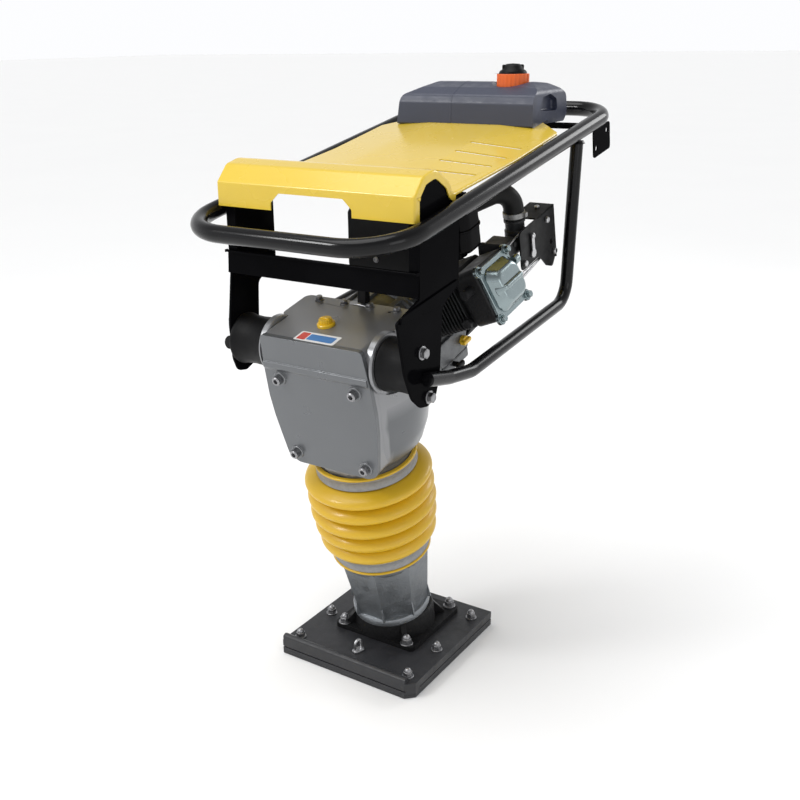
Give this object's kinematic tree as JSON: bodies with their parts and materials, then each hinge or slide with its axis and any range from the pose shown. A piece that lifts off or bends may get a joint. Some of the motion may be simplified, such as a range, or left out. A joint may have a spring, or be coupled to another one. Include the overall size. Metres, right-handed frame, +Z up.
{
  "type": "jumping jack rammer",
  "caption": "Upright petrol rammer: spring-loaded leg with bellows, gear case, engine, tube handle ring, hood and tank on a flat shoe.",
  "frame": {"origin": "centre of the sole plate's underside", "axes": "+Z up; -Y the direction of travel; +X the engine's cylinder side; the leg leans 13.2 degrees towards -Y"},
  "size_m": [0.4476, 0.8184, 1.0523],
  "materials": {
    "sole_steel": "satin",
    "shoe_black": "satin",
    "flange_black": "satin",
    "eye_steel": "satin",
    "stud_steel": "satin",
    "leg_cast": "cast",
    "ram_steel": "ground",
    "spring_steel": "satin",
    "clamp_steel": "satin",
    "bellows_yellow": "satin",
    "casing_grey": "satin",
    "bolt_steel": "satin",
    "plug_yellow": "gloss",
    "gear_steel": "machined",
    "clutch_steel": "machined",
    "engine_alloy": "cast",
    "valve_alloy": "satin",
    "cowl_black": "gloss",
    "grip_black": "matte",
    "carb_alloy": "cast",
    "box_black": "satin",
    "hose_rubber": "matte",
    "muffler_steel": "satin",
    "mount_rubber": "matte",
    "frame_black": "gloss",
    "hood_yellow": "gloss",
    "tank_blue_grey": "satin",
    "cap_orange": "satin",
    "flywheel_alloy": "cast"
  },
  "bodies": {
    "foot": {"sole_plate": "sole_steel", "shoe_body": "shoe_black", "leg_flange": "flange_black", "lifting_eye": "eye_steel", "shoe_studs_left": "stud_steel", "shoe_studs_right": "stud_steel", "flange_studs_left": "stud_steel", "flange_studs_right": "stud_steel", "cast_leg": "leg_cast", "ram_cylinder": "ram_steel", "ram_cap": "ram_steel", "lower_spring": "spring_steel", "upper_spring": "spring_steel", "lower_clamp": "clamp_steel", "bellows": "bellows_yellow"},
    "casing": {"guide_cylinder": "ram_steel", "upper_clamp": "clamp_steel", "gear_housing": "casing_grey", "front_cover": "casing_grey", "cover_bolt_1": "bolt_steel", "cover_bolt_2": "bolt_steel", "cover_bolt_3": "bolt_steel", "cover_bolt_4": "bolt_steel", "filler_plug": "plug_yellow", "crank_bearing": "gear_steel", "pinion_bearing": "gear_steel", "clutch_housing": "engine_alloy", "engine_block": "engine_alloy", "engine_cylinder": "engine_alloy", "valve_cover": "valve_alloy", "recoil_cover": "cowl_black", "carburettor": "carb_alloy", "control_box": "box_black", "intake_hose": "hose_rubber", "air_cleaner": "box_black", "muffler": "muffler_steel", "shock_mount_left": "mount_rubber", "shock_mount_right": "mount_rubber"},
    "crank": {"crank_gear": "gear_steel"},
    "pinion": {"pinion_shaft": "gear_steel", "clutch_drum": "clutch_steel"},
    "ram": {"piston": "ram_steel", "connecting_rod": "gear_steel"},
    "engine_rotor": {"engine_shaft": "gear_steel", "flywheel": "flywheel_alloy", "clutch_shoe_1": "clutch_steel", "clutch_shoe_2": "clutch_steel"},
    "throttle": {"throttle_lever": "bolt_steel"},
    "starter_grip": {"pull_grip": "grip_black"},
    "handle": {"side_plate_left": "frame_black", "side_plate_right": "frame_black", "side_tube_left": "frame_black", "side_tube_right": "frame_black", "cross_bar": "frame_black", "hood": "hood_yellow", "fuel_tank": "tank_blue_grey", "tank_bar": "frame_black", "handle_ring": "frame_black", "throttle_bracket": "frame_black"},
    "cap": {"tank_cap": "cap_orange"}
  },
  "joints": [
    {"name": "foot_stroke", "type": "slide", "parent": "foot", "child": "casing", "axis": [0, -0.2284, 0.9736], "range_m": [-0.06, 0], "stiffness_N_per_m": 30000, "springref_m": 0.026, "deforming": ["bellows"]},
    {"name": "crank_spin", "type": "hinge", "parent": "casing", "child": "crank", "pos_m": [0, -0.06901, 0.51421], "axis": [0, 0.9736, 0.2284], "continuous": true},
    {"name": "pinion_spin", "type": "hinge", "parent": "casing", "child": "pinion", "pos_m": [0, -0.08682, 0.59014], "axis": [0, 0.9736, 0.2284], "continuous": true},
    {"name": "ram_stroke", "type": "slide", "parent": "casing", "child": "ram", "axis": [0, -0.2284, 0.9736], "range_m": [0, 0.06], "stiffness_N_per_m": 20000, "deforming": ["lower_spring", "upper_spring"]},
    {"name": "engine_spin", "type": "hinge", "parent": "casing", "child": "engine_rotor", "pos_m": [0, 0.08648, 0.63079], "axis": [0, 0.9736, 0.2284], "continuous": true},
    {"name": "throttle_turn", "type": "hinge", "parent": "casing", "child": "throttle", "pos_m": [0.18, 0.20325, 0.73727], "axis": [1, 0, 0], "range_deg": [0, 50]},
    {"name": "starter_pull", "type": "slide", "parent": "casing", "child": "starter_grip", "axis": [0, 0.9736, 0.2284], "range_m": [0, 0.6], "stiffness_N_per_m": 15, "springref_m": -0.6},
    {"name": "handle_flex", "type": "hinge", "parent": "casing", "child": "handle", "pos_m": [0, -0.15843, 0.61957], "axis": [1, 0, 0], "range_deg": [-2, 2], "stiffness_Nm_per_rad": 9000},
    {"name": "cap_turn", "type": "hinge", "parent": "handle", "child": "cap", "pos_m": [0.062, 0.345, 1.02], "axis": [0, 0, 1], "range_deg": [0, 90]}
  ],
  "couplings": [
    {"joint": "pinion_spin", "follows": "crank_spin", "ratio": -3.3333}
  ]
}
